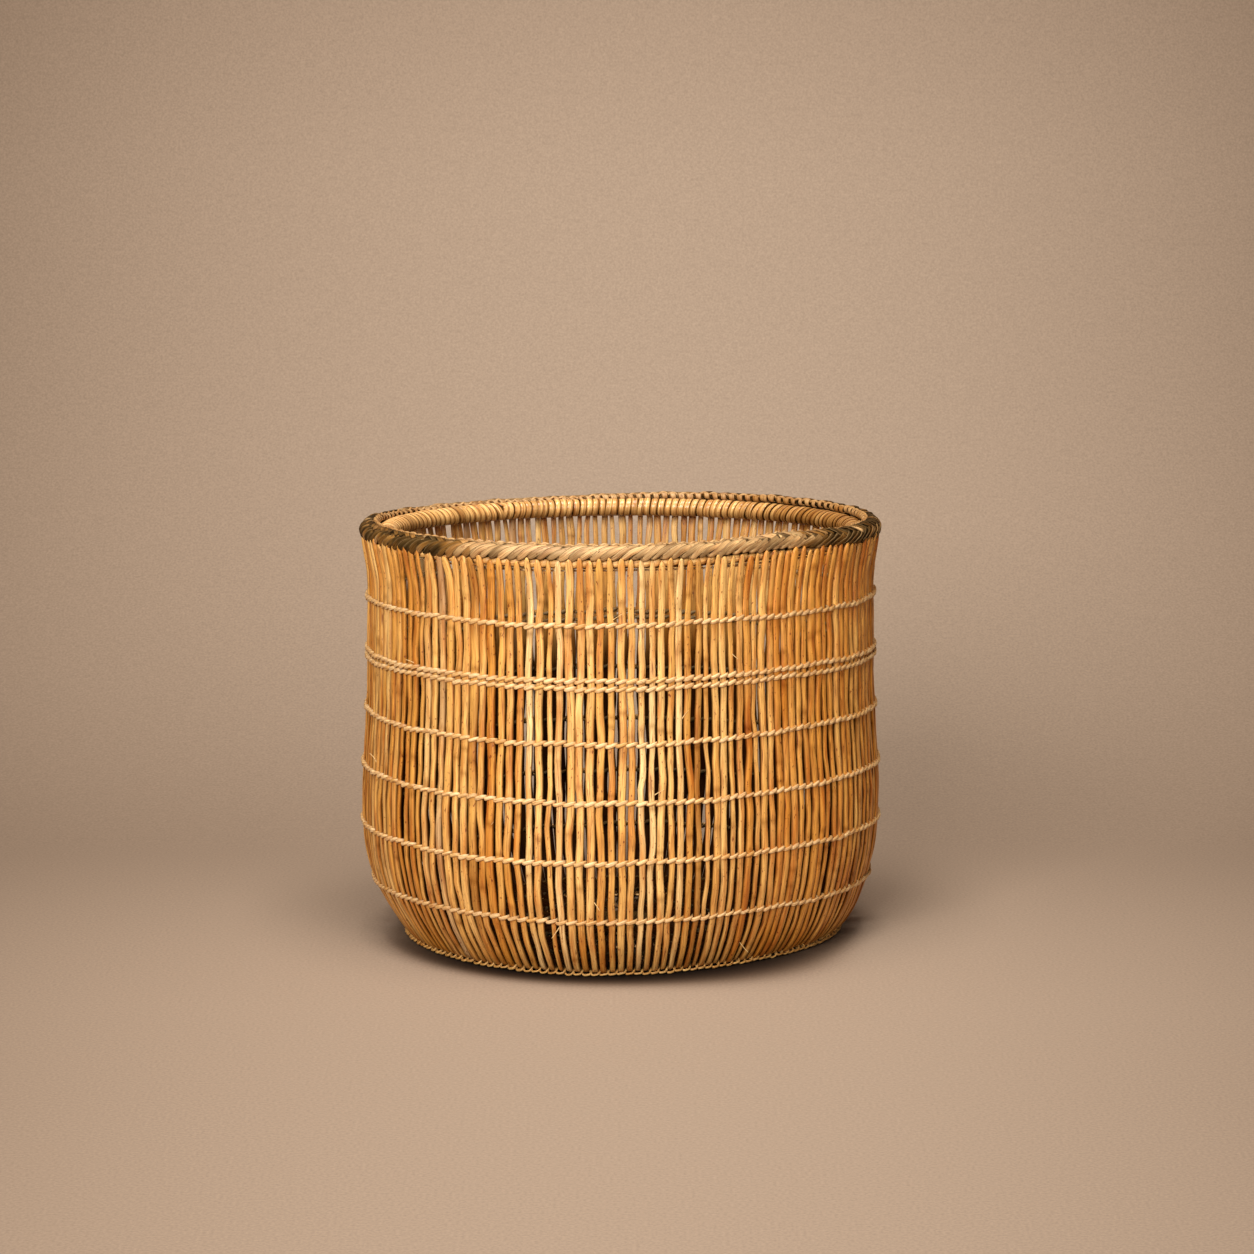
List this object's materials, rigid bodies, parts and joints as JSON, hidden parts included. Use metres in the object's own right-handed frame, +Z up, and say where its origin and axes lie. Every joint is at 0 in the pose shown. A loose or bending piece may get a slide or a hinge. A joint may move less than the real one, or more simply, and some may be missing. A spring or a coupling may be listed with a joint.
{
  "type": "fishing basket",
  "caption": "Open-work twined fishing basket of whole rods, slightly oval, with bellied wall, turned-under foot, splint-wrapped hoop and plaited border",
  "frame": {"origin": "on the floor at the middle of the base", "axes": "+Z up through the mouth, the front seen in the picture towards -Y, +X to its right, which is nearly the long way of the slightly oval mouth"},
  "size_m": [0.4202, 0.3856, 0.3405],
  "materials": {
    "rod": "smooth peeled rod, satin",
    "twine": "split vine, matte",
    "splint": "flat splint, glossy skin",
    "plait": "split vine, satin"
  },
  "bodies": {
    "root": {"base_hub": "twine", "base_row_1_over": "twine", "base_row_1_under": "twine", "base_row_2_over": "twine", "base_row_2_under": "twine", "foot_row_over": "twine", "foot_row_under": "twine", "hoop_core": "rod", "hoop_wrapping": "splint", "plaited_border": "plait", "stake_group_01": "rod", "stake_group_02": "rod", "stake_group_03": "rod", "stake_group_04": "rod", "stake_group_05": "rod", "stake_group_06": "rod", "stake_group_07": "rod", "stake_group_08": "rod", "stake_group_09": "rod", "stake_group_10": "rod", "stake_group_11": "rod", "stake_group_12": "rod", "stake_group_13": "rod", "stake_group_14": "rod", "stake_group_15": "rod", "stake_group_16": "rod", "stake_group_17": "rod", "stake_group_18": "rod", "stake_group_19": "rod", "stake_group_20": "rod", "stake_group_21": "rod", "stake_group_22": "rod", "stake_group_23": "rod", "stake_group_24": "rod", "stake_group_25": "rod", "stake_group_26": "rod", "stake_group_27": "rod", "stake_group_28": "rod", "stake_group_29": "rod", "stake_group_30": "rod", "stake_group_31": "rod", "top_weft_row": "twine", "weft_row_1": "twine", "weft_row_2": "twine", "weft_row_3": "twine", "weft_row_4": "twine", "weft_row_5": "twine", "weft_row_6": "twine", "weft_row_7": "twine"}
  },
  "joints": []
}
